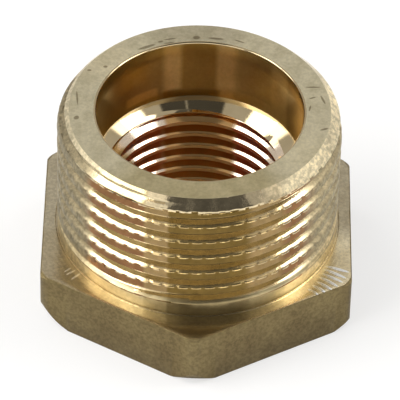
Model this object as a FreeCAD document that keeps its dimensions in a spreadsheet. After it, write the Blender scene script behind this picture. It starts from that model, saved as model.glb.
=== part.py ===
import FreeCAD, Part
import math
import os
import Sketcher

doc = FreeCAD.newDocument("HexBushing")

# Sizes of the bushing, in millimetres, degrees and turns.
# It stands on its hexagon: z = 0 is the lower face and +Z is the axis, with the male end up.
VALUES = [
    ("across_flats", 35.5),
    ("flange_height", 7.0),
    ("flange_corner_round", 1.2),
    ("lower_chamfer_width", 1.2),
    ("lower_chamfer_steepness", 62.0),
    ("upper_chamfer_width", 0.4),
    ("upper_chamfer_steepness", 30.0),
    ("spigot_height", 16.6),
    ("male_crest_radius", 16.15),
    ("male_thread_depth", 1.005),
    ("male_root_flat", 0.384),
    ("male_pitch", 2.309),
    ("male_groove_start", 2.535),
    ("male_runout_turns", 0.25),
    ("lead_chamfer_width", 1.55),
    ("lead_chamfer_height", 1.6),
    ("counterbore_radius", 11.75),
    ("counterbore_depth", 8.05),
    ("mouth_edge_break", 0.27),
    ("shoulder_height", 0.95),
    ("tapping_radius", 9.45),
    ("entry_chamfer_width", 1.45),
    ("entry_chamfer_height", 0.85),
    ("thread_half_angle", 27.5),
]
sizes = doc.addObject("Spreadsheet::Sheet", "Sizes")
for row, (name, value) in enumerate(VALUES, start=1):
    sizes.set("A%d" % row, name)
    sizes.set("B%d" % row, str(value))
    sizes.setAlias("B%d" % row, name)
doc.recompute()


def val(name):
    return float(sizes.get(name))


def cell(name):
    return "Sizes." + name


body = doc.addObject("PartDesign::Body", "HexBushing")
body.Label = "hex_bushing"
body.Placement = FreeCAD.Placement()


def origin_item(role):
    for item in body.Origin.OriginFeatures:
        if getattr(item, "Role", "") == role:
            return item
    raise RuntimeError("origin item missing: " + role)


def new_sketch(name, role):
    sketch = body.newObject("Sketcher::SketchObject", name)
    sketch.AttachmentSupport = [(origin_item(role), "")]
    sketch.MapMode = "FlatFace"
    return sketch


def closed_outline(sketch, corners):
    """Join the corners with straight lines and hold each one by its two distances from the origin.

    A corner is (x, y, rule for x, rule for y). An empty rule means that the distance is zero.
    """
    count = len(corners)
    for i in range(count):
        here = FreeCAD.Vector(corners[i][0], corners[i][1], 0)
        after = FreeCAD.Vector(corners[(i + 1) % count][0], corners[(i + 1) % count][1], 0)
        sketch.addGeometry(Part.LineSegment(here, after), False)
    for i in range(count):
        sketch.addConstraint(Sketcher.Constraint("Coincident", i, 2, (i + 1) % count, 1))
    for i, (x, y, x_rule, y_rule) in enumerate(corners):
        for kind, amount, rule in (("DistanceX", x, x_rule), ("DistanceY", y, y_rule)):
            index = sketch.addConstraint(Sketcher.Constraint(kind, -1, 1, i, 1, amount))
            if rule:
                sketch.setExpression("Constraints[%d]" % index, rule)


def turned(kind, name, sketch):
    """A section revolved once about the bushing's axis, as metal added or cut away."""
    feature = body.newObject("PartDesign::" + kind, name)
    feature.Profile = sketch
    feature.ReferenceAxis = (sketch, ["V_Axis"])
    feature.Angle = 360
    return feature


# Flange: the hexagon, corner towards the front, raised to its height
corner_radius = val("across_flats") / 2 / math.cos(math.radians(30))
corner_radius_rule = "(" + cell("across_flats") + " / 2 / cos(30 deg))"
hexagon = new_sketch("HexagonOutline", "XY_Plane")
hexagon_corners = []
for step in range(6):
    turn = -90 + 60 * step
    hexagon_corners.append((
        corner_radius * math.cos(math.radians(turn)),
        corner_radius * math.sin(math.radians(turn)),
        corner_radius_rule + " * cos(%d deg)" % turn,
        corner_radius_rule + " * sin(%d deg)" % turn,
    ))
closed_outline(hexagon, hexagon_corners)
flange = body.newObject("PartDesign::Pad", "Flange")
flange.Profile = hexagon
flange.setExpression("Length", cell("flange_height"))
doc.recompute()

# The drawn bar's upright edges are round
upright_edges = []
for number, edge in enumerate(flange.Shape.Edges, start=1):
    start, end = edge.Vertexes[0].Point, edge.Vertexes[-1].Point
    if math.hypot(end.x - start.x, end.y - start.y) < 1e-6:
        upright_edges.append("Edge%d" % number)
rounding = body.newObject("PartDesign::Fillet", "FlangeCorners")
rounding.Base = (flange, upright_edges)
rounding.setExpression("Radius", cell("flange_corner_round"))

# Spigot: the turned blank of the male thread, with the chamfer that leads the thread in
top = val("flange_height") + val("spigot_height")
top_rule = cell("flange_height") + " + " + cell("spigot_height")
crest = val("male_crest_radius")
blank_section = new_sketch("SpigotSection", "XZ_Plane")
closed_outline(blank_section, [
    (0, 0, "", ""),
    (crest, 0, cell("male_crest_radius"), ""),
    (crest, top - val("lead_chamfer_height"),
     cell("male_crest_radius"), top_rule + " - " + cell("lead_chamfer_height")),
    (crest - val("lead_chamfer_width"), top,
     cell("male_crest_radius") + " - " + cell("lead_chamfer_width"), top_rule),
    (0, top, "", top_rule),
])
spigot = turned("Revolution", "Spigot", blank_section)

# Turned chamfers that take off the hexagon's corners, below and above
spare = 2.0
reach = corner_radius + spare
reach_rule = "(" + corner_radius_rule + " + %g)" % spare


def corner_cut(name, prefix, face_height, face_rule, direction):
    width = val(prefix + "_chamfer_width")
    slope = math.tan(math.radians(val(prefix + "_chamfer_steepness")))
    sign = " + " if direction > 0 else " - "
    width_rule = cell(prefix + "_chamfer_width")
    inner_rule = corner_radius_rule + " - " + width_rule
    depth_rule = "(%g + %s) * tan(%s * 1 deg)" % (spare, width_rule, cell(prefix + "_chamfer_steepness"))
    section = new_sketch(name + "Section", "XZ_Plane")
    closed_outline(section, [
        (corner_radius - width, face_height, inner_rule, face_rule),
        (reach, face_height, reach_rule, face_rule),
        (reach, face_height + direction * (spare + width) * slope,
         reach_rule, (face_rule or "0") + sign + depth_rule),
    ])
    return turned("Groove", name, section)


lower_cut = corner_cut("LowerCornerCut", "lower", 0, "", 1)
upper_cut = corner_cut("UpperCornerCut", "upper", val("flange_height"), cell("flange_height"), -1)

# Bore: entry chamfer, tapping bore, conical shoulder, counterbore and the broken edge of its mouth
tapping = val("tapping_radius")
counterbore = val("counterbore_radius")
edge_break = val("mouth_edge_break")
shoulder_top = top - val("counterbore_depth")
shoulder_top_rule = top_rule + " - " + cell("counterbore_depth")
bore_section = new_sketch("BoreSection", "XZ_Plane")
closed_outline(bore_section, [
    (0, 0, "", ""),
    (tapping + val("entry_chamfer_width"), 0, cell("tapping_radius") + " + " + cell("entry_chamfer_width"), ""),
    (tapping, val("entry_chamfer_height"), cell("tapping_radius"), cell("entry_chamfer_height")),
    (tapping, shoulder_top - val("shoulder_height"),
     cell("tapping_radius"), shoulder_top_rule + " - " + cell("shoulder_height")),
    (counterbore, shoulder_top, cell("counterbore_radius"), shoulder_top_rule),
    (counterbore, top - edge_break, cell("counterbore_radius"), top_rule + " - " + cell("mouth_edge_break")),
    (counterbore + edge_break, top, cell("counterbore_radius") + " + " + cell("mouth_edge_break"), top_rule),
    (0, top, "", top_rule),
])
bore = turned("Groove", "Bore", bore_section)

# Section of the male thread's groove at the front: flat root, straight flanks, mouth past the crest
mouth = 0.6
root = crest - val("male_thread_depth")
root_rule = cell("male_crest_radius") + " - " + cell("male_thread_depth")
middle = val("flange_height") + val("male_groove_start")
middle_rule = cell("flange_height") + " + " + cell("male_groove_start")
root_half = val("male_root_flat") / 2
root_half_rule = cell("male_root_flat") + " / 2"
mouth_half = root_half + (val("male_thread_depth") + mouth) * math.tan(math.radians(val("thread_half_angle")))
mouth_half_rule = "(%s + (%s + %g) * tan(%s * 1 deg))" % (
    root_half_rule, cell("male_thread_depth"), mouth, cell("thread_half_angle"))
mouth_rule = "-(%s + %g)" % (cell("male_crest_radius"), mouth)
groove_section = new_sketch("MaleGrooveSection", "YZ_Plane")
closed_outline(groove_section, [
    (-root, middle - root_half, "-(" + root_rule + ")", middle_rule + " - " + root_half_rule),
    (-crest - mouth, middle - mouth_half, mouth_rule, middle_rule + " - " + mouth_half_rule),
    (-crest - mouth, middle + mouth_half, mouth_rule, middle_rule + " + " + mouth_half_rule),
    (-root, middle + root_half, "-(" + root_rule + ")", middle_rule + " + " + root_half_rule),
])

# Male thread: right-hand groove that climbs from the front and leaves through the lead chamfer
thread = body.newObject("PartDesign::SubtractiveHelix", "MaleThread")
thread.Profile = groove_section
thread.ReferenceAxis = (groove_section, ["V_Axis"])
thread.Mode = "pitch-height-angle"
thread.setExpression("Pitch", cell("male_pitch"))
thread.setExpression("Height", "%s - %s + %s" % (
    cell("spigot_height"), cell("male_groove_start"), cell("male_pitch")))

# Run-out: the same groove carried on downwards while it rises out of the blank
clear = 0.05
runout = body.newObject("PartDesign::SubtractiveHelix", "MaleRunOut")
runout.Profile = groove_section
runout.ReferenceAxis = (groove_section, ["V_Axis"])
runout.Mode = "pitch-turns-angle"
runout.setExpression("Pitch", cell("male_pitch"))
runout.setExpression("Turns", cell("male_runout_turns"))
runout.setExpression("Angle", "atan((%s + %g) / (%s * %s))" % (
    cell("male_thread_depth"), clear, cell("male_pitch"), cell("male_runout_turns")))
runout.Reversed = True
doc.recompute()

# Every step has to have worked, and every cut has to have cut
for item in doc.Objects:
    if "Invalid" in item.State or "Error" in item.State:
        raise RuntimeError("failed: " + item.Name)
stages = [flange, rounding, spigot, lower_cut, upper_cut, bore, thread, runout]
for stage in stages:
    if stage.Shape.isNull() or not stage.Shape.isValid():
        raise RuntimeError("no good shape: " + stage.Name)
for before, after in zip(stages[2:], stages[3:]):
    if after.Shape.Volume > before.Shape.Volume - 0.01:
        raise RuntimeError("nothing cut: " + after.Name)
if len(body.Shape.Solids) != 1:
    raise RuntimeError("not one solid")

os.makedirs("parts", exist_ok=True)
body.Shape.exportStep("parts/" + body.Label + ".step")
print(body.Label, round(body.Shape.Volume, 1), "mm3")
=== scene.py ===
import math
import bmesh
import bpy
from mathutils import Matrix, Vector, noise


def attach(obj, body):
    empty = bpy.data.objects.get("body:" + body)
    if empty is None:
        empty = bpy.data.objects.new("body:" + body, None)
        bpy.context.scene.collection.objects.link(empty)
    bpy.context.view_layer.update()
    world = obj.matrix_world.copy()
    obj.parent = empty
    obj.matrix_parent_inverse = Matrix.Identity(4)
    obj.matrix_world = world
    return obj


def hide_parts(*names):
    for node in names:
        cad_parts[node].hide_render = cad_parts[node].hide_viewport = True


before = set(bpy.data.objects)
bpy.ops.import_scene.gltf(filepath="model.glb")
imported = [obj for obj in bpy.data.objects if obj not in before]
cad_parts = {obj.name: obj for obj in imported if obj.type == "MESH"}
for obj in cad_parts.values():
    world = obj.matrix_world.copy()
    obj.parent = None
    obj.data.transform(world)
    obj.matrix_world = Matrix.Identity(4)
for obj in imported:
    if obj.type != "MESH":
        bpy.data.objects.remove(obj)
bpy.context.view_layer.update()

# Sizes of the bushing in millimetres, heights from the face it stands on
MM = 0.001
ACROSS_FLATS = 35.5
FLANGE_HEIGHT = 7.0
FLANGE_CORNER_ROUND = 1.2
LOWER_CHAMFER_WIDTH = 1.24
LOWER_CHAMFER_ROUND = 1.6
LOWER_CHAMFER_CURVE = 1.5
LOWER_CHAMFER_OFFSET = 0.4
UPPER_CHAMFER_WIDTH = 0.4
UPPER_CHAMFER_STEEPNESS = math.radians(30.0)
TOP = 23.6
CREST_RADIUS = 16.15
MALE_DEPTH = 1.005
MALE_ROOT_FLAT = 0.384
MALE_EDGE_ROUNDS = (0.0, 0.5)
MALE_PITCH = 2.309
MALE_GROOVE_START = 9.535
RUNOUT_TURN = math.radians(90.0)
RUNOUT_CLEAR = 0.05
COUNTERBORE_RADIUS = 11.75
COUNTERBORE_DEPTH = 8.05
MOUTH_EDGE_BREAK = 0.27
SHOULDER_HEIGHT = 0.95
TAPPING_RADIUS = 9.45
FEMALE_DEPTH = 1.0275
FEMALE_ROOT_FLAT = 0.302
FEMALE_EDGE_ROUNDS = (0.08, 0.08)
FEMALE_PITCH = 1.814
FEMALE_GROOVE_BACK = 14.16
ENTRY_CHAMFER_WIDTH = 1.45
ENTRY_CHAMFER_HEIGHT = 0.85
HALF_ANGLE = math.radians(27.5)
ROOT_ROUND = 0.1373

MALE_FOOT = FLANGE_HEIGHT + 1.6
FEMALE_HEAD = 15.1
SHOULDER_TOP = TOP - COUNTERBORE_DEPTH
SHOULDER_FOOT = SHOULDER_TOP - SHOULDER_HEIGHT
APOTHEM = ACROSS_FLATS / 2
HALF_SIDE = math.radians(30.0)
SHARP_CORNER = APOTHEM / math.cos(HALF_SIDE)

# Upright lines of the mesh outside and in the bore, and turns round the axis
NOTCHES = 66
NOTCH_COLUMNS = 6
NOTCH_AT_FRONT = math.radians(-92.6)
COLUMNS = NOTCHES * NOTCH_COLUMNS
BORE_COLUMNS = COLUMNS // 2
FULL_TURN = 2 * math.pi
FRONT = math.radians(-90.0)
BACK = math.radians(90.0)

# Notches pressed across the male crests: depth, its share by column from the middle and by row of the ridge
NOTCH_DEPTH = 0.2
NOTCH_SHAPE = (1.0, 0.5, 0.1, 0.0)
NOTCH_ROWS = {9: 0.15, 10: 0.5, 11: 0.85}
NOTCH_UNLIKE = 0.28
NOTCH_NOISE_STEP = 2.71
RIDGE_NOISE_STEP = 3.13
SHALLOW_NOTCHES = (-2, 4)
SHALLOW_SHARE = 0.8
NOTCH_END = 21.9
NOTCH_FADE = 0.4

# Shift of the upright lines towards the notch, by column from its middle, and where it fades out
NOTCH_SHIFTS = (0.0, 0.05, 0.08, 0.0)
SHIFT_FADE_TOP = 1.2
SHIFT_FADE_FOOT = 0.8

# Parts of the thread sections, turns of each thread below its groove's start and in all
ROUND_PARTS = 3
FLANK_PARTS = 2
MALE_CREST_PARTS = 3
FEMALE_CREST_PARTS = 1
MALE_TURNS = (2, 9)
FEMALE_TURNS = (9, 11)

# Lead chamfer as (height, radius): steep at its foot, then at half a right angle up to the rim
LEAD_POINTS = [(21.6, CREST_RADIUS), (22.52, 15.88), (TOP, 14.8)]
LEAD_ROUND = 0.14
LEAD_FOOT = LEAD_POINTS[0][0]
LEAD_BEND = LEAD_POINTS[1][0]
LEAD_WHOLE = LEAD_BEND + 0.43

# The uneven lip that hangs under the lead chamfer's bend
LIP_SAG = 0.16
LIP_LEAST = 0.6
LIP_UNLIKE = 1.2
LIP_WAVE = 0.23
LIP_LOW_SHARE = 0.3

# Distances at which points are merged, slivers are closed, and a point counts as at a height or surface
MERGE = 0.004
SLIVER = 0.0005
AT_HEIGHT = 0.01
ON_SURFACE = 0.03

# Finishes of the faces. In the threads, some are paler and darker copies of one brass picked by slope, as
# painted highlight and painted shade.
FINISHES_AND_SHADES = [
    "flats", "flange_top", "band", "thread", "edge", "flank", "under", "lead", "rim", "counterbore",
    "shoulder", "female", "female_flank",
]


def column_turn(column, columns):
    """The angle of an upright line of the mesh. Line 0 holds the notch nearest to the front."""
    return NOTCH_AT_FRONT + FULL_TURN * column / columns


def turned(profile, columns, rise=0.0):
    """Spins a profile of (radius, height) points once about the axis, climbing by rise.

    Each point keeps its row number in the profile.
    """
    bm = bmesh.new()
    row = bm.verts.layers.int.new("row")
    turn = column_turn(0, columns)
    line = []
    for number, (radius, height) in enumerate(profile):
        vert = bm.verts.new((radius * math.cos(turn), radius * math.sin(turn), height))
        vert[row] = number
        line.append(vert)
    edges = [bm.edges.new(pair) for pair in zip(line, line[1:])]
    bmesh.ops.spin(
        bm, geom=line + edges, cent=(0, 0, 0), axis=(0, 0, 1), dvec=(0, 0, rise / columns),
        angle=FULL_TURN, steps=columns, use_merge=(rise == 0.0), use_duplicate=False)
    return bm


def reshape(bm, columns, rule):
    """Puts every point of a turned mesh on its upright line, at the rule's radius and height."""
    row = bm.verts.layers.int["row"]
    for vert in bm.verts:
        turn = math.atan2(vert.co.y, vert.co.x)
        column = round((turn - NOTCH_AT_FRONT) * columns / FULL_TURN)
        turn = column_turn(column, columns)
        radius, height, turn = rule(vert[row], column % columns, turn, vert.co.xy.length, vert.co.z)
        vert.co = (radius * math.cos(turn), radius * math.sin(turn), height)


def copies_up(bm, count, step):
    """Stacks count copies of a one-turn strip, each a step above the last."""
    strip = bm.verts[:] + bm.edges[:] + bm.faces[:]
    for number in range(1, count):
        again = bmesh.ops.duplicate(bm, geom=strip)["geom"]
        verts = [item for item in again if isinstance(item, bmesh.types.BMVert)]
        bmesh.ops.translate(bm, verts=verts, vec=(0, 0, step * number))


def half_groove(depth, pitch, half_root, edge_round):
    """Half a groove's section as (distance out from the root, height).

    It is a round root, a straight flank and a round crest edge.
    """
    root_round = ROOT_ROUND * pitch
    lean = math.pi / 2 - HALF_ANGLE
    edge_height = half_root + depth * math.tan(HALF_ANGLE)
    half = []
    for part in range(ROUND_PARTS + 1):
        turn = lean * part / ROUND_PARTS
        half.append((root_round * (1 - math.cos(turn)), root_round * math.sin(turn)))
    edge_start = edge_round * math.tan(lean / 2)
    last = (depth - edge_start * math.cos(HALF_ANGLE), edge_height - edge_start * math.sin(HALF_ANGLE))
    first = half[-1]
    for part in range(1, FLANK_PARTS):
        share = part / FLANK_PARTS
        half.append((first[0] + (last[0] - first[0]) * share, first[1] + (last[1] - first[1]) * share))
    for part in range(ROUND_PARTS + 1):
        turn = lean * (1 - part / ROUND_PARTS)
        half.append((depth - edge_round * (1 - math.cos(turn)),
                     edge_height + edge_start - edge_round * math.sin(turn)))
    return half


def thread_profile(root, crest, pitch, edge_rounds, half_root, crest_parts):
    """One pitch of thread section, from the middle of a groove up to the middle of the next.

    edge_rounds are the radii of the crest's lower and upper edge.
    """
    outward = math.copysign(1, crest - root)
    halves = [half_groove(abs(crest - root), pitch, half_root, edge_round) for edge_round in edge_rounds]
    lower = [(root + outward * out, height) for out, height in halves[0]]
    upper = [(root + outward * out, pitch - height) for out, height in reversed(halves[1])]
    foot, head = lower[-1][1], upper[0][1]
    land = [(crest, foot + (head - foot) * part / crest_parts) for part in range(1, crest_parts)]
    return lower + land + upper


def groove_place(turn, height, start_turn, start_height, pitch):
    """The turns from the groove's start up to a point, and the path angle of the nearest groove."""
    climb = ((turn - start_turn) % FULL_TURN) / FULL_TURN
    turns = (height - start_height) / pitch - climb
    return turns, FULL_TURN * (round(turns) + climb)


def male_turns(turn, height):
    """groove_place for the male thread."""
    return groove_place(turn, height, FRONT, MALE_GROOVE_START, MALE_PITCH)


def from_0_to_1(value):
    return min(1.0, max(0.0, value))


def round_noise(turn, spread, height):
    """Smooth noise from -1 to 1 that closes round the axis, the same in each run."""
    return noise.noise(Vector((math.cos(turn) * spread, math.sin(turn) * spread, height)))


# Unevenness of the pressed metal: how it changes round the axis and up it, its depth and where it starts
UNEVEN_WAVES = 3
UNEVEN_SPREAD = 4
UNEVEN_PLACE = Vector((3.0, 0.0, 0.0))
UNEVEN_CLIMB = 0.6
UNEVEN_DEPTH = 0.03
UNEVEN_START = 0.1


def unevenness(turn, height):
    """A small smooth unevenness of the male thread."""
    around = turn * UNEVEN_WAVES
    place = Vector((math.cos(around), math.sin(around), 0.0)) * UNEVEN_SPREAD
    place += UNEVEN_PLACE + Vector((0.0, 0.0, height * UNEVEN_CLIMB))
    return abs(noise.noise(place) * UNEVEN_DEPTH)


def notch_depth(row, column, level):
    """How far the notches cut into a row of this level's ridge. They run out towards its lower edge."""
    if row < min(NOTCH_ROWS):
        return 0.0
    place = column % NOTCH_COLUMNS
    number = column // NOTCH_COLUMNS
    own = 1 + NOTCH_UNLIKE * noise.noise(Vector((number * NOTCH_NOISE_STEP, level * RIDGE_NOISE_STEP, 0.5)))
    from_front = (number + NOTCHES / 2) % NOTCHES - NOTCHES / 2
    if SHALLOW_NOTCHES[0] <= from_front <= SHALLOW_NOTCHES[1]:
        own *= SHALLOW_SHARE
    return NOTCH_DEPTH * own * NOTCH_SHAPE[min(place, NOTCH_COLUMNS - place)] * NOTCH_ROWS.get(row, 1.0)


def near_notch(column, turn, height):
    """Draws the upright lines closer to the notches, except where the thread meets its neighbours."""
    place = column % NOTCH_COLUMNS
    shift = NOTCH_SHIFTS[min(place, NOTCH_COLUMNS - place)] / CREST_RADIUS
    away = from_0_to_1(min((TOP - height) / SHIFT_FADE_TOP, (height - MALE_FOOT) / SHIFT_FADE_FOOT))
    return turn + shift * away * (-1 if place < NOTCH_COLUMNS / 2 else 1)


def lead_line(height):
    """Radius of the lead chamfer with sharp bends."""
    (foot, foot_radius), (bend, bend_radius), (head, head_radius) = LEAD_POINTS
    if height < foot:
        return foot_radius
    if height < bend:
        return foot_radius + (bend_radius - foot_radius) * (height - foot) / (bend - foot)
    return bend_radius + (head_radius - bend_radius) * (height - bend) / (head - bend)


def lead_radius(height):
    """Radius of the lead chamfer with its bends rounded off."""
    return sum(lead_line(height + step * LEAD_ROUND) for step in (-1, 0, 1)) / 3


def cone_radius(height):
    """Radius of the shoulder's cone, carried on below it."""
    share = (height - SHOULDER_FOOT) / SHOULDER_HEIGHT
    return TAPPING_RADIUS + share * (COUNTERBORE_RADIUS - TAPPING_RADIUS)


def lowest_groove(turn):
    """The level of the male thread's lowest groove here. The run-out lies a turn below the start."""
    return -1 if (turn - FRONT) % FULL_TURN > FULL_TURN - RUNOUT_TURN else 0


def lip_sag(column):
    """How far the uneven lip under the lead chamfer hangs down here."""
    own = LIP_LEAST + LIP_UNLIKE * noise.noise(Vector((column * LIP_WAVE, 5.0, 0.0)))
    return LIP_SAG * own * (1.0 if column % NOTCH_COLUMNS < NOTCH_COLUMNS / 2 else LIP_LOW_SHARE)


def male_rule(row, column, turn, radius, height):
    """Run-out, notches and lead chamfer of the male thread."""
    turns, path = male_turns(turn, height)
    height = min(max(height, MALE_FOOT), TOP)
    if path < 0:
        left = min(1.0, -path / RUNOUT_TURN)
        radius = min(CREST_RADIUS, radius + left * (MALE_DEPTH + RUNOUT_CLEAR))
    if turns > lowest_groove(turn):
        depth = notch_depth(row, column, math.floor(turns)) * from_0_to_1((NOTCH_END - height) / NOTCH_FADE)
        radius = min(radius, lead_radius(height) - depth)
    if MALE_FOOT + UNEVEN_START < height < TOP:
        radius -= unevenness(turn, height)
    radius = min(radius, lead_radius(height))
    if abs(height - LEAD_BEND + LEAD_ROUND) < AT_HEIGHT:
        height -= lip_sag(column)
    return radius, height, near_notch(column, turn, height)


def whole_turns(section, start_turn, start_height, pitch, columns, turns):
    """A thread of whole turns: so many below the groove's start, and so many in all."""
    below, count = turns
    climb = (column_turn(0, columns) - start_turn) / FULL_TURN * pitch
    foot = start_height + climb - below * pitch
    bm = turned([(radius, height + foot) for radius, height in section], columns, pitch)
    copies_up(bm, count, pitch)
    bmesh.ops.remove_doubles(bm, verts=bm.verts[:], dist=MERGE)
    return bm


def male_thread():
    """The male thread with its run-out and lead chamfer, from the band up to the rim."""
    root = CREST_RADIUS - MALE_DEPTH
    section = thread_profile(
        root, CREST_RADIUS, MALE_PITCH, MALE_EDGE_ROUNDS, MALE_ROOT_FLAT / 2, MALE_CREST_PARTS)
    bm = whole_turns(section, FRONT, MALE_GROOVE_START, MALE_PITCH, COLUMNS, MALE_TURNS)
    for bend in (LEAD_FOOT, LEAD_BEND):
        for step in (-1, 1):
            bmesh.ops.bisect_plane(
                bm, geom=bm.verts[:] + bm.edges[:] + bm.faces[:], plane_no=(0, 0, 1),
                plane_co=(0, 0, bend + step * LEAD_ROUND))
    drop_beyond(bm, MALE_FOOT - MALE_PITCH / 4, TOP + MALE_PITCH / 4)
    reshape(bm, COLUMNS, male_rule)
    return bm


def drop_beyond(bm, low, high):
    """Takes away the faces that lie wholly below or above the two heights."""
    beyond = []
    for face in bm.faces:
        heights = [vert.co.z for vert in face.verts]
        if max(heights) < low or min(heights) > high:
            beyond.append(face)
    bmesh.ops.delete(bm, geom=beyond, context="FACES")


def female_rule(row, column, turn, radius, height):
    """The female thread between its entry chamfer and the conical shoulder."""
    height = min(max(height, 0.0), FEMALE_HEAD)
    entry = TAPPING_RADIUS + ENTRY_CHAMFER_WIDTH * (1 - height / ENTRY_CHAMFER_HEIGHT)
    return max(radius, entry, cone_radius(height)), height, turn


def female_thread():
    """The female thread with its entry chamfer, from the lower face up to the shoulder."""
    root = TAPPING_RADIUS + FEMALE_DEPTH
    section = thread_profile(
        root, TAPPING_RADIUS, FEMALE_PITCH, FEMALE_EDGE_ROUNDS, FEMALE_ROOT_FLAT / 2, FEMALE_CREST_PARTS)
    bm = whole_turns(section, BACK, FEMALE_GROOVE_BACK, FEMALE_PITCH, BORE_COLUMNS, FEMALE_TURNS)
    drop_beyond(bm, -FEMALE_PITCH / 4, FEMALE_HEAD + FEMALE_PITCH / 4)
    reshape(bm, BORE_COLUMNS, female_rule)
    return bm


def shaped(row_count, rule):
    """A closed strip of so many rows whose points the rule puts in their places."""
    bm = turned([(APOTHEM + number * 0.1, TOP) for number in range(row_count)], COLUMNS)
    reshape(bm, COLUMNS, rule)
    return bm


def plain_turned(rows):
    """A closed strip with the same (radius, height) points all round."""
    return shaped(len(rows), lambda row, column, turn, radius, height: (*rows[row], turn))


# The hexagon's upright lines: so many at each round corner, the others along the flats
CORNER_LINES = 20
SECTOR_LINES = COLUMNS // 6


def hexagon_point(column):
    """Angle and radius of the flange's outline at this upright line."""
    place = (column_turn(column, COLUMNS) - FRONT) / FULL_TURN * COLUMNS
    sector = math.floor(place / SECTOR_LINES + 0.5)
    step = place - sector * SECTOR_LINES
    corner_turn = FRONT + sector * 2 * HALF_SIDE
    half_corner = CORNER_LINES / 2
    if abs(step) <= half_corner:
        lean = HALF_SIDE * step / half_corner
        along = (APOTHEM - FLANGE_CORNER_ROUND) / math.cos(HALF_SIDE) + FLANGE_CORNER_ROUND * math.cos(lean)
        across = FLANGE_CORNER_ROUND * math.sin(lean)
    else:
        side = math.copysign(1, step)
        share = (abs(step) - half_corner) / (SECTOR_LINES / 2 - half_corner)
        left = (APOTHEM - FLANGE_CORNER_ROUND) * math.tan(HALF_SIDE) * (1 - share)
        along = APOTHEM * math.cos(HALF_SIDE) + left * math.sin(HALF_SIDE)
        across = side * (APOTHEM * math.sin(HALF_SIDE) - left * math.cos(HALF_SIDE))
    return corner_turn + math.atan2(across, along), math.hypot(along, across)


# The flange's edges are slightly round, and unlike from place to place
HEX_EDGE = 0.14
HEX_EDGE_UNLIKE = 0.5
HEX_EDGE_MIDDLE = 0.3
CHAMFER_PARTS = 4
WALL_ROWS = CHAMFER_PARTS + 7


def flange_rule(row, column, turn, radius, height):
    """The flange's wall, with corners turned off in a curve below and hardly at all above."""
    turn, outline = hexagon_point(column)
    low = min(outline, SHARP_CORNER - LOWER_CHAMFER_WIDTH + LOWER_CHAMFER_OFFSET * math.cos(turn))
    high = min(outline, SHARP_CORNER - UPPER_CHAMFER_WIDTH)
    low_rise = -LOWER_CHAMFER_CURVE * math.log(1 - (outline - low) / LOWER_CHAMFER_ROUND)
    high_drop = (outline - high) * math.tan(UPPER_CHAMFER_STEEPNESS)
    soft = HEX_EDGE * (1 + HEX_EDGE_UNLIKE * round_noise(turn, 6, 2.0))
    wall = [(low - HEX_EDGE, 0.0), (low - HEX_EDGE_MIDDLE * HEX_EDGE, HEX_EDGE_MIDDLE * HEX_EDGE)]
    for part in range(CHAMFER_PARTS + 1):
        rise = low_rise * part / CHAMFER_PARTS
        curve = LOWER_CHAMFER_ROUND * (1 - math.exp(-rise / LOWER_CHAMFER_CURVE))
        wall.append((low + curve, rise + HEX_EDGE))
    wall += [
        (outline, FLANGE_HEIGHT - high_drop - soft),
        (high, FLANGE_HEIGHT - soft),
        (high - HEX_EDGE_MIDDLE * soft, FLANGE_HEIGHT - HEX_EDGE_MIDDLE * soft),
        (high - soft, FLANGE_HEIGHT),
    ]
    return (*wall[row], turn)


def flange_wall():
    return shaped(WALL_ROWS, flange_rule)


# The fine undercut between the band's foot and the flange's upper face, as (radius, height)
BAND_FOOT = FLANGE_HEIGHT + 0.06
UNDERCUT_FLOOR = FLANGE_HEIGHT - 0.1
UNDERCUT = [
    (CREST_RADIUS, BAND_FOOT),
    (CREST_RADIUS + 0.02, UNDERCUT_FLOOR),
    (CREST_RADIUS + 0.16, UNDERCUT_FLOOR),
    (CREST_RADIUS + 0.26, FLANGE_HEIGHT),
]
FACE_PARTS = 4


def flange_top_rule(row, column, turn, radius, height):
    """The flange's upper face, from the undercut out to the hexagon."""
    if row < len(UNDERCUT):
        return (*UNDERCUT[row], turn)
    rim_radius, rim_height, rim_turn = flange_rule(WALL_ROWS - 1, column, turn, radius, height)
    start = Vector((math.cos(turn), math.sin(turn))) * UNDERCUT[-1][0]
    end = Vector((math.cos(rim_turn), math.sin(rim_turn))) * rim_radius
    spot = start.lerp(end, (row - len(UNDERCUT) + 1) / FACE_PARTS)
    return spot.length, FLANGE_HEIGHT, math.atan2(spot.y, spot.x)


def flange_top():
    return shaped(len(UNDERCUT) + FACE_PARTS, flange_top_rule)


def band():
    return plain_turned([
        (CREST_RADIUS, BAND_FOOT),
        (CREST_RADIUS, FLANGE_HEIGHT + 0.8),
        (CREST_RADIUS, MALE_FOOT),
    ])


RIM_PARTS = 12
RIM_SINK = 0.006


def rim_rule(row, column, turn, radius, height):
    """The rim's face between its two edges, very slightly uneven."""
    inner = COUNTERBORE_RADIUS + MOUTH_EDGE_BREAK
    radius = inner + (lead_radius(TOP) - inner) * row / RIM_PARTS
    sink = RIM_SINK * (1 + round_noise(turn, 9, radius)) if 0 < row < RIM_PARTS else 0.0
    return radius, TOP - sink, turn


def rim():
    return shaped(RIM_PARTS + 1, rim_rule)


def counterbore():
    return plain_turned([
        (COUNTERBORE_RADIUS + MOUTH_EDGE_BREAK, TOP),
        (COUNTERBORE_RADIUS + 0.07, TOP - 0.1),
        (COUNTERBORE_RADIUS, TOP - 0.22),
        (COUNTERBORE_RADIUS, TOP - 2.4),
        (COUNTERBORE_RADIUS, TOP - 4.4),
        (COUNTERBORE_RADIUS, TOP - 6.2),
        (COUNTERBORE_RADIUS, SHOULDER_TOP),
    ])


def ring(radius, height, columns, outline=None):
    """A closed ring of edges, to be bridged to its neighbours."""
    bm = bmesh.new()
    bmesh.ops.create_circle(bm, cap_ends=False, segments=columns, radius=radius)
    bm.verts.ensure_lookup_table()
    for column, vert in enumerate(bm.verts):
        turn = column_turn(column, columns)
        place = (radius, turn) if outline is None else outline(column)
        vert.co = (place[0] * math.cos(place[1]), place[0] * math.sin(place[1]), height)
    return bm


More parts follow.
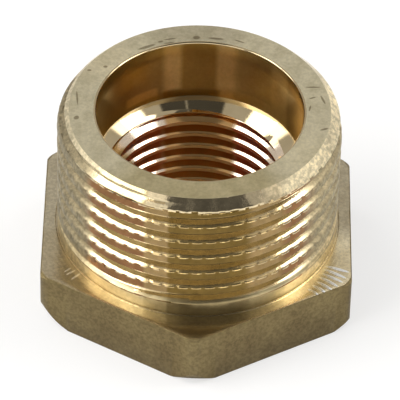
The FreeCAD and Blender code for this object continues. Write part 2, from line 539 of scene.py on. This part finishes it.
def joined(parts):
    """One mesh of several."""
    whole = bmesh.new()
    for part in parts:
        mesh = bpy.data.meshes.new("part")
        part.to_mesh(mesh)
        part.free()
        whole.from_mesh(mesh)
        bpy.data.meshes.remove(mesh)
    return whole


def bridged(first, second):
    """The faces between two rings."""
    bm = joined([first, second])
    bmesh.ops.bridge_loops(bm, edges=bm.edges[:])
    return bm


def shoulder():
    return bridged(
        ring(COUNTERBORE_RADIUS, SHOULDER_TOP, COLUMNS),
        ring(cone_radius(FEMALE_HEAD), FEMALE_HEAD, BORE_COLUMNS))


def base_face():
    def outline(column):
        radius, height, turn = flange_rule(0, column, 0, 0, 0)
        return radius, turn

    entry = TAPPING_RADIUS + ENTRY_CHAMFER_WIDTH
    return bridged(ring(1.0, 0.0, COLUMNS, outline), ring(entry, 0.0, BORE_COLUMNS))


# Angle past which an edge is shaded sharp, and limits of the finishes and of the painted light and shade by
# slope. A slope is a normal's upright part.
SHARP = math.radians(33.0)
FLANK_SLOPE = 0.35
CREST_SLOPE = 0.1
EDGE_SLOPES = (0.52, 0.84)
EDGE_WIDTH = 0.4
MOUTH_BRIGHT = 0.2
LAST_FLANK = 0.15


def thread_finish_and_shade(face, middle, radius):
    """Finish of a face of the male thread: crests are pressed and rougher, flanks are cut and smoother. The
    darker colours of the crests and undersides are painted shade, and the paler colours of the flanks and
    crest edges are painted highlight.
    """
    slope = face.normal.z
    on_chamfer = radius > lead_radius(middle.z) - ON_SURFACE or middle.z > LEAD_WHOLE
    if middle.z > LEAD_BEND - LEAD_ROUND and on_chamfer:
        return "lead"
    if slope < -FLANK_SLOPE:
        return "under"
    if radius > CREST_RADIUS - EDGE_WIDTH and slope > CREST_SLOPE:
        turn = math.atan2(middle.y, middle.x)
        if male_turns(turn, middle.z)[0] < lowest_groove(turn):
            return "band"
        if EDGE_SLOPES[0] < slope < EDGE_SLOPES[1]:
            return "edge"
    return "flank" if slope > FLANK_SLOPE else "thread"


def finish_and_shade_of(face):
    """Finish of a face, from the sub-part that it belongs to and its place there. In the threads the slope
    also picks paler and darker copies of the brass, as painted highlight and painted shade.
    """
    finish = FINISHES_AND_SHADES[face.material_index]
    middle = face.calc_center_median()
    radius = middle.xy.length
    if finish == "thread":
        return thread_finish_and_shade(face, middle, radius)
    if finish == "counterbore" and middle.z > TOP - MOUTH_BRIGHT:
        return "shoulder"
    # The tapped flanks get a paler brass than their crests, as painted highlight
    if finish == "female":
        if radius < cone_radius(middle.z) + ON_SURFACE or middle.z > SHOULDER_FOOT + LAST_FLANK:
            return "shoulder"
        return "female_flank" if face.normal.z > FLANK_SLOPE else "female"
    return finish


def whole_bushing(materials):
    """One closed mesh of all the sub-parts, with a finish for each face; in the threads the finishes also
    carry painted light and shade.
    """
    zones = [
        (flange_wall(), "flats"),
        (flange_top(), "flange_top"),
        (band(), "band"),
        (male_thread(), "thread"),
        (rim(), "rim"),
        (counterbore(), "counterbore"),
        (shoulder(), "shoulder"),
        (female_thread(), "female"),
        (base_face(), "flats"),
    ]
    for bm, finish in zones:
        for face in bm.faces:
            face.material_index = FINISHES_AND_SHADES.index(finish)
    bm = joined([zone[0] for zone in zones])
    bmesh.ops.remove_doubles(bm, verts=bm.verts[:], dist=MERGE)
    bmesh.ops.dissolve_degenerate(bm, dist=SLIVER, edges=bm.edges[:])
    bmesh.ops.recalc_face_normals(bm, faces=bm.faces[:])
    for face in bm.faces:
        face.smooth = True
        face.material_index = FINISHES_AND_SHADES.index(finish_and_shade_of(face))
    for edge in bm.edges:
        if len(edge.link_faces) == 2:
            edge.smooth = edge.calc_face_angle() < SHARP
    bmesh.ops.scale(bm, verts=bm.verts[:], vec=(MM, MM, MM))
    open_edges = [edge for edge in bm.edges if len(edge.link_faces) != 2]
    mesh = bpy.data.meshes.new("hex_bushing_metal")
    bm.to_mesh(mesh)
    volume = bm.calc_volume(signed=True)
    print("faces", len(bm.faces), "triangles", sum(len(face.verts) - 2 for face in bm.faces))
    print("open edges", len(open_edges), "volume mm3", round(volume / MM ** 3, 1))
    bm.free()
    for finish in FINISHES_AND_SHADES:
        mesh.materials.append(materials[finish])
    piece = bpy.data.objects.new("hex_bushing_metal", mesh)
    bpy.context.scene.collection.objects.link(piece)
    return piece


class Nodes:
    """Short ways to add nodes to one material or world."""

    def __init__(self, tree):
        self.tree = tree
        tree.nodes.clear()

    def add(self, kind, inputs=None, **settings):
        """A node with these inputs, each a value or another node's output."""
        node = self.tree.nodes.new(kind)
        for name, value in settings.items():
            setattr(node, name, value)
        for name, value in (inputs or {}).items():
            socket = node.inputs[name]
            if isinstance(value, bpy.types.NodeSocket):
                self.tree.links.new(value, socket)
            else:
                socket.default_value = value
        return node

    def math(self, operation, first, second=0.0):
        return self.add("ShaderNodeMath", {0: first, 1: second}, operation=operation).outputs[0]

    def total(self, *values):
        total = values[0]
        for value in values[1:]:
            total = self.math("ADD", total, value)
        return total

    def product(self, *values):
        product = values[0]
        for value in values[1:]:
            product = self.math("MULTIPLY", product, value)
        return product

    def smooth(self, value, low, high, start=0.0, end=1.0):
        """Goes softly from start to end while the value goes from low to high."""
        node = self.add("ShaderNodeMapRange", {
            "Value": value, "From Min": low, "From Max": high, "To Min": start, "To Max": end},
            interpolation_type="SMOOTHSTEP")
        return node.outputs[0]

    def past(self, value, edge, soft):
        """0 below the soft edge and 1 above it."""
        return self.smooth(value, edge - soft, edge + soft)

    def before(self, value, edge, soft):
        """1 below the soft edge and 0 above it."""
        return self.smooth(value, edge - soft, edge + soft, 1.0, 0.0)

    def between(self, value, low, high, soft):
        """1 between two soft edges and 0 outside them."""
        return self.product(self.past(value, low, soft), self.before(value, high, soft))

    def noise(self, vector, scale, detail=2.0, roughness=0.5):
        node = self.add("ShaderNodeTexNoise", {
            "Vector": vector, "Scale": scale, "Detail": detail, "Roughness": roughness})
        return node.outputs["Fac"]

    def blend(self, share, first, second):
        """The first colour where the share is 0, the second where it is 1."""
        node = self.add("ShaderNodeMix", {0: share, 6: first, 7: second}, data_type="RGBA")
        return node.outputs[2]

    def scaled(self, value, share):
        return self.add("ShaderNodeVectorMath", {0: value, "Scale": share}, operation="SCALE").outputs[0]

    def surface(self, shader, kind="ShaderNodeOutputMaterial"):
        """Ends the tree with this shader."""
        self.add(kind, {"Surface": shader.outputs[0]})


def colour(red, green, blue):
    """A screen colour from 0 to 255, as the linear colour that a shader takes."""
    parts = []
    for value in (red, green, blue):
        share = value / 255
        parts.append(share / 12.92 if share <= 0.04045 else ((share + 0.055) / 1.055) ** 2.4)
    return (*parts, 1.0)


MARK_EDGE = (0.3, 1.0)


def marks_on(nodes, x, y, marks):
    """How far a point lies inside the marks: 1 in a mark's middle, 0 outside all.

    A mark is (x, y, angle in degrees, half length, half width) in millimetres, as seen from above.
    """
    total = 0.0
    for middle_x, middle_y, angle, length, width in marks:
        cos, sin = math.cos(math.radians(angle)), math.sin(math.radians(angle))
        off_x = nodes.math("SUBTRACT", x, middle_x * MM)
        off_y = nodes.math("SUBTRACT", y, middle_y * MM)
        along = nodes.total(nodes.product(off_x, cos), nodes.product(off_y, sin))
        across = nodes.math("SUBTRACT", nodes.product(off_y, cos), nodes.product(off_x, sin))
        squares = []
        for distance, half in ((along, length), (across, width)):
            share = nodes.math("ABSOLUTE", nodes.math("DIVIDE", distance, half * MM))
            squares.append(nodes.math("POWER", share, 2.0))
        inside = nodes.smooth(nodes.total(*squares), *MARK_EDGE, 1.0, 0.0)
        total = nodes.math("MAXIMUM", total, inside)
    return total


STRETCH_SOFT = 0.25 * MM


def painted_light_round_axis(nodes, x, y, z, base, stretches, soft):
    """Painted light and painted shade round the axis.

    A stretch is (start, end, foot, head, painted_light_factor): its ends in degrees from the back, its foot
    and head in millimetres above the face that the bushing stands on, and its factor makes the colour paler
    or darker there.
    """
    turn = nodes.math("ARCTAN2", x, y)
    for start, end, foot, head, painted_light_factor in stretches:
        inside = nodes.product(
            nodes.between(turn, math.radians(start), math.radians(end), math.radians(soft)),
            nodes.between(z, foot * MM, head * MM, STRETCH_SOFT))
        toned = nodes.add("ShaderNodeVectorMath", {0: base, 1: painted_light_factor}, operation="MULTIPLY").outputs[0]
        base = nodes.blend(inside, base, toned)
    return base


# Relief, grain, tool lines, specks and marks of the brass; the pale marks are painted near white as a
# painted highlight. Scales are in waves to a metre.
BUMP_DISTANCE = 0.04 * MM
BRASS_RELIEF = 0.5
THREAD_RELIEF = 0.15
GRAIN_SCALE = 4000.0
STAIN_EDGES = (0.35, 0.68)
ROUGH_EDGES = (0.25, 0.75)
LINE_SCALE = 2700.0
RING_RISE = 0.3
DRAWN_RISE = 0.06
SPECK_SCALE = 2600.0
SPECK_EDGES = (0.35, 0.65)
DARK_DEPTH = 1.1
DARK_SHARE = 0.68
DARK_COLOUR = colour(104, 88, 58)
PALE_HEIGHT = 1.6
PAINTED_HIGHLIGHT_SHARE = 0.8
PAINTED_HIGHLIGHT_COLOUR = colour(255, 252, 244)


def tool_lines(nodes, x, y, z, kind):
    """Lines of the tool: rings on a face (ring), rings on a wall (turned) or along the bar (drawn)."""
    if kind == "ring":
        radius = nodes.math("SQRT", nodes.total(nodes.product(x, x), nodes.product(y, y)))
        place = {"X": radius, "Y": nodes.product(z, RING_RISE), "Z": 0.0}
    elif kind == "turned":
        place = {"X": z, "Y": 0.0, "Z": 0.0}
    else:
        place = {"X": x, "Y": y, "Z": nodes.product(z, DRAWN_RISE)}
    along = nodes.add("ShaderNodeCombineXYZ", place).outputs[0]
    if kind == "drawn":
        return nodes.noise(along, LINE_SCALE, 2.0, 0.6)
    return nodes.noise(along, LINE_SCALE, 1.0, 0.5)


def started(name):
    """A new material with its nodes, and the point of the piece that they read, whole and split."""
    material = bpy.data.materials.new(name)
    material.use_nodes = True
    nodes = Nodes(material.node_tree)
    place = nodes.add("ShaderNodeTexCoord").outputs["Object"]
    x, y, z = nodes.add("ShaderNodeSeparateXYZ", {"Vector": place}).outputs
    return material, nodes, place, x, y, z


def metal(nodes, base, rough, height, strength):
    """Ends a material as metal of this colour, roughness and relief."""
    bump = nodes.add("ShaderNodeBump", {"Height": height, "Strength": strength, "Distance": BUMP_DISTANCE})
    nodes.surface(nodes.add("ShaderNodeBsdfPrincipled", {
        "Base Color": base, "Metallic": 1.0, "Roughness": rough, "Normal": bump.outputs["Normal"]}))


def brass(name, main, stain, roughness, spread=0.03, stain_scale=220.0, grain=0.15, grain_scale=GRAIN_SCALE,
          lines=None, line_depth=0.2, dark_marks=(), pale_highlight_marks=(), stretches=(), soft=2.0, speckle=0.0):
    """Brass with blotchy stain and a grain, and perhaps tool lines, dark marks, pale marks with a painted
    highlight, specks and stretches of painted light and shade.
    """
    material, nodes, place, x, y, z = started(name)
    blotch = nodes.noise(place, stain_scale, 3.0, 0.6)
    base = nodes.blend(nodes.smooth(blotch, *STAIN_EDGES), colour(*main), colour(*stain))
    height = nodes.product(nodes.noise(place, grain_scale, 2.0, 0.6), grain)
    if lines:
        ridges = tool_lines(nodes, x, y, z, lines)
        height = nodes.total(height, nodes.product(ridges, line_depth))
    rough = nodes.smooth(blotch, *ROUGH_EDGES, roughness - spread, roughness + spread)
    if dark_marks:
        dark = marks_on(nodes, x, y, dark_marks)
        height = nodes.math("SUBTRACT", height, nodes.product(dark, DARK_DEPTH))
        base = nodes.blend(nodes.product(dark, DARK_SHARE), base, DARK_COLOUR)
    # Pale marks: raised streaks painted near white, as a painted highlight
    if pale_highlight_marks:
        pale = marks_on(nodes, x, y, pale_highlight_marks)
        height = nodes.total(height, nodes.product(pale, PALE_HEIGHT))
        base = nodes.blend(nodes.product(pale, PAINTED_HIGHLIGHT_SHARE), base, PAINTED_HIGHLIGHT_COLOUR)
    if speckle:
        specks = nodes.noise(place, SPECK_SCALE, 2.0, 0.7)
        base = nodes.scaled(base, nodes.smooth(specks, *SPECK_EDGES, 1.0 - speckle, 1.0 + speckle))
    # Stretches of painted light and painted shade round the axis
    if stretches:
        base = painted_light_round_axis(nodes, x, y, z, base, stretches, soft)
    metal(nodes, base, rough, height, BRASS_RELIEF)
    return material


# Stretches round the male thread, in radians from the front, with painted reflections: darker front as
# painted shade, pale strips as painted highlight, dull far sides, back
FRONT_STRETCH = (-0.203, 0.375)
PALE_STRETCH = (-0.375, 0.64)
STRETCH_START_SOFT = 0.012
STRETCH_END_SOFT = 0.05
STRETCH_WANDER = 0.02
THREAD_SIDES = (-0.87, 0.89)
LEAD_SIDES = (-0.8, 0.5)
SIDE_SOFT = (0.08, 0.13)
RIGHT_SIDE_GAIN = 1.4
BACK_START = (1.9, 2.4)

# Blotches and specks of the male thread. Only a share of the specks is at the front.
THREAD_BLOTCH_SCALE = 420.0
THREAD_BLOTCH_TONES = (0.86, 1.1)
THREAD_SPECK_SCALE = 1900.0
THREAD_SPECK_TONES = (-0.24, 0.2)
FRONT_SPECK_SHARE = 0.25


def thread_brass(name, front, pale, side, far, sides, roughness, far_roughness=0.5):
    """Brass of the male thread with painted reflections round the axis: darker at the front as painted
    shade, paler beside it and at the back as painted highlight, and another tone with more roughness at the
    sides.
    """
    material, nodes, place, x, y, z = started(name)
    turn = nodes.math("ARCTAN2", x, nodes.product(y, -1.0))
    blotch = nodes.noise(place, THREAD_BLOTCH_SCALE, 3.0, 0.6)
    uneven = nodes.total(turn, nodes.product(nodes.math("SUBTRACT", blotch, 0.5), STRETCH_WANDER))
    in_front, in_pale = [
        nodes.product(
            nodes.past(uneven, start, STRETCH_START_SOFT), nodes.before(uneven, end, STRETCH_END_SOFT))
        for start, end in (FRONT_STRETCH, PALE_STRETCH)]
    apart = nodes.math(
        "MAXIMUM", nodes.before(uneven, sides[0], SIDE_SOFT[0]), nodes.past(uneven, sides[1], SIDE_SOFT[1]))
    back = nodes.smooth(nodes.math("ABSOLUTE", turn), *BACK_START)
    apart = nodes.product(apart, nodes.math("SUBTRACT", 1.0, back))
    # The far right side is painted paler than the far left, as painted light.
    far_tone = nodes.scaled(colour(*far)[:3], nodes.smooth(turn, -0.1, 0.1, 1.0, RIGHT_SIDE_GAIN))
    base = nodes.blend(apart, colour(*side), far_tone)
    base = nodes.blend(nodes.math("MAXIMUM", in_pale, back), base, colour(*pale))
    base = nodes.blend(in_front, base, colour(*front))
    base = nodes.scaled(base, nodes.smooth(blotch, 0.3, 0.7, *THREAD_BLOTCH_TONES))
    specks = nodes.noise(place, THREAD_SPECK_SCALE, 2.0, 0.7)
    specks = nodes.smooth(specks, *SPECK_EDGES, *THREAD_SPECK_TONES)
    share = nodes.total(FRONT_SPECK_SHARE, nodes.product(apart, 1.0 - FRONT_SPECK_SHARE))
    base = nodes.scaled(base, nodes.total(1.0, nodes.product(specks, share)))
    rough = nodes.total(roughness, nodes.product(apart, far_roughness - roughness))
    metal(nodes, base, rough, nodes.noise(place, GRAIN_SCALE, 2.0, 0.6), THREAD_RELIEF)
    return material


# Marks as (x, y, angle in degrees, half length, half width) in millimetres, as seen from above
RIM_MARKS = [
    (-13.86, -1.78, 60, 0.42, 0.34), (-10.88, 7.12, 0, 0.3, 0.24), (-12.7, 6.43, 0, 0.3, 0.2),
    (-6.25, 10.75, 27, 1.3, 0.26), (-4.7, 11.75, 20, 0.4, 0.2), (-3.6, 12.25, 14, 0.9, 0.14),
    (-3.7, 11.55, 16, 0.8, 0.14), (-0.57, 12.6, 0, 0.5, 0.4), (1.7, 12.5, -6, 1.1, 0.22),
    (4.4, 12.1, -24, 0.8, 0.14), (12.8, 4.35, 2, 1.0, 0.15), (12.7, 2.5, 25, 0.5, 0.14),
    (12.4, 0.7, 80, 0.6, 0.13), (13.9, 2.2, -70, 0.9, 0.16), (14.0, -2.8, 20, 0.6, 0.2),
    (14.3, -6.4, -60, 0.5, 0.24), (-13.9, 1.6, 95, 1.4, 0.13),
]
# Raised streaks on the flange's upper face, painted near white as a painted highlight
CHATTER_MARKS_WITH_HIGHLIGHT = [
    (16.06, -8.06, -19, 1.7, 0.26), (15.79, -8.82, -29, 1.7, 0.27), (15.52, -9.55, -30, 1.6, 0.25),
    (15.1, -10.2, -35, 1.45, 0.27), (14.6, -10.85, -37, 1.3, 0.25), (14.0, -11.4, -38, 1.1, 0.27),
    (13.3, -11.9, -40, 0.9, 0.22), (-14.2, -9.6, 40, 0.8, 0.16), (-13.6, -10.2, 48, 0.9, 0.16),
    (-14.6, -9.2, 46, 0.6, 0.14),
]

# Stretches of painted light and shade as (start, end, foot, head, painted_light_factor): degrees from the
# back, millimetres, and the tone's factors
# Painted reflections on the bored wall: paler and darker bands round it
WALL_STRETCHES = [
    (-11.0, 9.0, 16.6, 24.0, (0.8, 0.7, 0.5)),
    (-120.0, -22.0, 15.0, 24.0, (0.7, 0.68, 0.58)),
    (-20.0, -11.0, 16.8, 24.0, (1.25, 1.28, 1.35)),
    (9.0, 19.5, 15.5, 24.0, (1.28, 1.3, 1.4)),
    (22.0, 44.0, 17.0, 24.0, (0.8, 0.79, 0.76)),
    (-22.0, 11.0, 15.0, 16.6, (0.62, 0.56, 0.4)),
    (-46.0, -25.0, 16.2, 17.5, (1.6, 1.6, 1.7)),
    (58.0, 120.0, 15.0, 24.0, (0.7, 0.66, 0.6)),
]
# Painted shade on the tapped crests at both sides
TAPPED_STRETCHES = [
    (-140.0, -24.0, -1.0, 16.0, (0.85, 0.5, 0.42)),
    (24.0, 140.0, -1.0, 16.0, (0.9, 0.42, 0.4)),
]
# Painted shade on the tapped flanks at the back
TAPPED_FLANK_STRETCHES = [(-24.0, 24.0, -1.0, 16.0, (0.7, 0.5, 0.26))]
# Painted sheen on the rim at the right front and left back, and painted shade at the front and back
RIM_STRETCHES = [
    (142.0, 220.0, 20.0, 30.0, (0.8, 0.76, 0.64)),
    (-220.0, -142.0, 20.0, 30.0, (0.8, 0.76, 0.64)),
    (108.0, 134.0, 20.0, 30.0, (1.1, 1.09, 1.07)),
    (-66.0, -40.0, 20.0, 30.0, (1.12, 1.1, 1.08)),
    (-24.0, 20.0, 20.0, 30.0, (0.83, 0.82, 0.82)),
]
# Painted highlight on the flange's upper face at the right front, and painted shade at the left front
FLANGE_STRETCHES = [
    (98.0, 146.0, 6.0, 8.0, (1.62, 1.62, 1.58)),
    (-144.0, -100.0, 6.0, 8.0, (0.94, 0.9, 0.84)),
]
# Painted shade on the two front flats
FLAT_STRETCHES = [
    (134.0, 174.0, -1.0, 8.0, (0.96, 0.95, 0.95)),
    (-174.0, -146.0, -1.0, 8.0, (0.93, 0.92, 0.92)),
]

materials = {
    "flats": brass(
        "brass_drawn_flats", (128, 114, 80), (117, 103, 72), 0.5, lines="drawn", grain=0.3,
        stretches=FLAT_STRETCHES, soft=4.0, speckle=0.17),
    "flange_top": brass(
        "brass_faced_flange", (198, 186, 158), (182, 168, 138), 0.22, lines="ring", line_depth=0.5,
        pale_highlight_marks=CHATTER_MARKS_WITH_HIGHLIGHT, stretches=FLANGE_STRETCHES, soft=6.0, speckle=0.1),
    # The colours of the band and the male thread change round the axis as painted reflections.
    "band": thread_brass(
        "brass_turned_band", (150, 134, 98), (180, 164, 126), (196, 180, 142), (176, 160, 124),
        THREAD_SIDES, 0.36),
    # Crests, crest edges, flanks and undersides of the male thread: crests and undersides are painted
    # darker as painted shade, edges and flanks paler as painted highlight.
    "thread": thread_brass(
        "brass_thread_crests", (113, 92, 49), (150, 126, 86), (134, 98, 66), (142, 132, 106),
        THREAD_SIDES, 0.22),
    "edge": thread_brass(
        "brass_thread_edges", (228, 200, 138), (220, 194, 142), (224, 206, 168), (150, 138, 110),
        THREAD_SIDES, 0.12),
    "flank": thread_brass(
        "brass_thread_flanks", (176, 152, 104), (196, 174, 132), (224, 206, 168), (150, 138, 110),
        THREAD_SIDES, 0.12),
    "under": brass("brass_thread_undersides", (172, 158, 124), (158, 144, 110), 0.25),
    "lead": thread_brass(
        "brass_lead_chamfer", (204, 188, 154), (200, 184, 150), (184, 168, 128), (196, 184, 154),
        LEAD_SIDES, 0.1),
    "rim": brass(
        "brass_parted_rim", (210, 200, 170), (194, 184, 154), 0.42, stain_scale=500.0, grain=0.5,
        grain_scale=2500.0, dark_marks=RIM_MARKS, stretches=RIM_STRETCHES, soft=9.0, speckle=0.07),
    "counterbore": brass(
        "brass_bored_wall", (204, 178, 116), (192, 164, 100), 0.33, spread=0.0, lines="turned",
        stretches=WALL_STRETCHES, speckle=0.04),
    "shoulder": brass(
        "brass_bored_shoulder", (200, 182, 146), (190, 172, 136), 0.04, spread=0.0, lines="ring",
        line_depth=0.05, grain=0.04),
    "female": brass(
        "brass_tapped_crests", (224, 186, 126), (212, 172, 112), 0.34, stretches=TAPPED_STRETCHES),
    "female_flank": brass(
        "brass_tapped_flanks", (236, 218, 196), (224, 204, 180), 0.1, stretches=TAPPED_FLANK_STRETCHES),
}

bushing = whole_bushing(materials)
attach(bushing, "root")
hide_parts("hex_bushing")


FLOOR_SIZE = 3.0
FLOOR_TONE = 0.94
FLOOR_GLOW = 0.6


def plain_floor():
    """A white floor that glows a little where the camera sees it."""
    bm = bmesh.new()
    bmesh.ops.create_grid(bm, x_segments=1, y_segments=1, size=FLOOR_SIZE)
    mesh = bpy.data.meshes.new("floor")
    bm.to_mesh(mesh)
    bm.free()
    material = bpy.data.materials.new("floor_white")
    material.use_nodes = True
    nodes = Nodes(material.node_tree)
    lit = nodes.add("ShaderNodeBsdfDiffuse", {"Color": (FLOOR_TONE, FLOOR_TONE, FLOOR_TONE, 1.0)})
    white = nodes.add("ShaderNodeEmission", {"Color": (1.0, 1.0, 1.0, 1.0), "Strength": 1.0})
    seen = nodes.add("ShaderNodeLightPath").outputs["Is Camera Ray"]
    nodes.surface(nodes.add("ShaderNodeMixShader", {
        0: nodes.product(seen, FLOOR_GLOW), 1: lit.outputs[0], 2: white.outputs[0]}))
    mesh.materials.append(material)
    floor = bpy.data.objects.new("floor", mesh)
    bpy.context.scene.collection.objects.link(floor)


# Levels of the studio's light. A dimming patch takes away its share of the level.
SKY_LEVEL = 0.62
PANEL_LEVEL = 4.2
WING_LEVEL = 3.0
PALE_LEVEL = 0.7
SLIT_LEVEL = 0.3
CANOPY_SHARE = 0.79
GAP_SHARE = 0.66
LID_SHARE = 0.86
DIM_SHARE = 0.6
SKY_COLOUR = (1.0, 0.985, 0.96, 1.0)

# Slits of light as (x, near end, far end)
SLITS = [(-0.09, -0.8, -0.6), (0.17, -0.8, -0.6), (0.096, -0.02, 0.12)]
SLIT_HALF = 0.007
FAR_AWAY = 3.0


def studio():
    """A soft studio: pale all round, a dark canopy over the camera side and a bright panel each side of it.

    All of it is laid out in the direction of the light: x to the right, y away from the camera, z up.
    """
    world = bpy.data.worlds.new("studio")
    bpy.context.scene.world = world
    world.use_nodes = True
    nodes = Nodes(world.node_tree)
    direction = nodes.add("ShaderNodeTexCoord").outputs["Generated"]
    x, y, z = nodes.add("ShaderNodeSeparateXYZ", {"Vector": direction}).outputs

    def window(left, right, near, far, soft):
        """A soft-edged rectangle, seen from above."""
        return nodes.product(nodes.between(x, left, right, soft), nodes.between(y, near, far, soft))

    def slanted(slope, low, high, soft=0.012):
        """The strip where x + slope * y lies between low and high."""
        return nodes.between(nodes.total(x, nodes.product(y, slope)), low, high, soft)

    # The two panels. Each is cut differently near the camera and farther away.
    above = nodes.smooth(z, 0.2, 0.4)
    near_left = nodes.product(slanted(-0.43, -FAR_AWAY, -0.322), nodes.smooth(y, 0.0, 0.04, 1.0, 0.0))
    far_left = nodes.product(slanted(-0.416, -FAR_AWAY, -0.333), slanted(0.0, -FAR_AWAY, -0.343))
    left_panel = nodes.product(
        nodes.math("MAXIMUM", near_left, far_left), slanted(-1.26, -0.92, FAR_AWAY),
        nodes.smooth(y, 0.35, 0.39, 1.0, 0.0), above)
    near_right = nodes.product(slanted(0.68, 0.5, FAR_AWAY), nodes.smooth(y, 0.08, 0.12, 1.0, 0.0))
    far_right = nodes.product(slanted(0.523, 0.385, FAR_AWAY), nodes.smooth(y, 0.08, 0.12))
    right_panel = nodes.product(
        nodes.math("MAXIMUM", near_right, far_right), slanted(0.0, 0.375, FAR_AWAY),
        slanted(1.3, -FAR_AWAY, 0.957), slanted(-0.8, -FAR_AWAY, 0.83),
        nodes.smooth(y, 0.39, 0.43, 1.0, 0.0), above)
    wings = nodes.total(window(-0.56, -0.44, 0.35, 0.47, 0.02), window(0.44, 0.56, 0.36, 0.46, 0.02))

    # The pale strip beside the left panel, the canopy, and the dark patches behind it
    pale = nodes.product(
        slanted(-0.416, -0.333, FAR_AWAY), slanted(0.466, -FAR_AWAY, -0.585),
        slanted(-0.466, -FAR_AWAY, 0.0), above)
    front = nodes.product(slanted(-0.466, 0.0, FAR_AWAY, 0.02), slanted(0.9, -FAR_AWAY, 0.0, 0.02))
    canopy = nodes.product(front, nodes.smooth(y, -0.34, -0.28, 1.0, 0.0), above)
    gap = nodes.product(window(-0.19, 0.27, -0.32, -0.02, 0.03), above)
    lid = nodes.product(window(-0.17, 0.27, -0.02, 0.25, 0.012), above)

    # Low light: a glow ahead, and dimmer towards the camera on both sides of it
    ahead = nodes.product(slanted(-0.93, 0.0, FAR_AWAY, 0.05), slanted(1.3, -FAR_AWAY, 0.0, 0.05))
    low = nodes.product(nodes.smooth(z, 0.0, 0.1), nodes.smooth(z, 0.24, 0.36, 1.0, 0.0))
    glow = nodes.product(low, ahead)
    dim = nodes.product(low, nodes.math("SUBTRACT", 1.0, ahead), nodes.smooth(y, 0.0, 0.2, 1.0, 0.0))

    level = nodes.total(SKY_LEVEL, nodes.product(nodes.total(left_panel, right_panel), PANEL_LEVEL))
    level = nodes.total(level, nodes.product(wings, WING_LEVEL))
    level = nodes.total(level, nodes.total(glow, nodes.product(pale, PALE_LEVEL)))
    for patch, share in ((canopy, CANOPY_SHARE), (gap, GAP_SHARE), (lid, LID_SHARE), (dim, DIM_SHARE)):
        level = nodes.product(level, nodes.math("SUBTRACT", 1.0, nodes.product(patch, share)))
    for middle, near, far in SLITS:
        slit = window(middle - SLIT_HALF, middle + SLIT_HALF, near, far, 0.005)
        level = nodes.total(level, nodes.product(slit, SLIT_LEVEL))
    background = nodes.add("ShaderNodeBackground", {"Color": SKY_COLOUR, "Strength": level})
    nodes.surface(background, "ShaderNodeOutputWorld")


# Camera fitted to the outlines of the photograph
CAMERA_PLACE = Vector((0.0, -0.33306, 0.31573))
CAMERA_PAN = math.radians(0.0447)
CAMERA_TILT = math.radians(42.568)
CAMERA_ROLL = math.radians(1.456)
OBJECT_YAW = math.radians(0.164)
LENS = 353.6


def photo_camera():
    """The camera, turned about the axis with the small turn that the object has in the photograph."""
    forward = Vector((
        math.sin(CAMERA_PAN) * math.cos(CAMERA_TILT), math.cos(CAMERA_PAN) * math.cos(CAMERA_TILT),
        -math.sin(CAMERA_TILT)))
    right = Vector((math.cos(CAMERA_PAN), -math.sin(CAMERA_PAN), 0.0))
    up = right.cross(forward)
    tilted_right = right * math.cos(CAMERA_ROLL) + up * math.sin(CAMERA_ROLL)
    tilted_up = up * math.cos(CAMERA_ROLL) - right * math.sin(CAMERA_ROLL)
    turn = Matrix((tilted_right, tilted_up, -forward)).transposed().to_4x4()
    lens = bpy.data.cameras.new("camera")
    lens.sensor_width = 36.0
    lens.lens = LENS
    lens.clip_start = 0.01
    lens.clip_end = 20.0
    camera = bpy.data.objects.new("camera", lens)
    camera.matrix_world = Matrix.Rotation(-OBJECT_YAW, 4, "Z") @ Matrix.Translation(CAMERA_PLACE) @ turn
    bpy.context.scene.collection.objects.link(camera)
    bpy.context.scene.camera = camera


plain_floor()
studio()
photo_camera()
bpy.context.scene.view_settings.view_transform = "Standard"
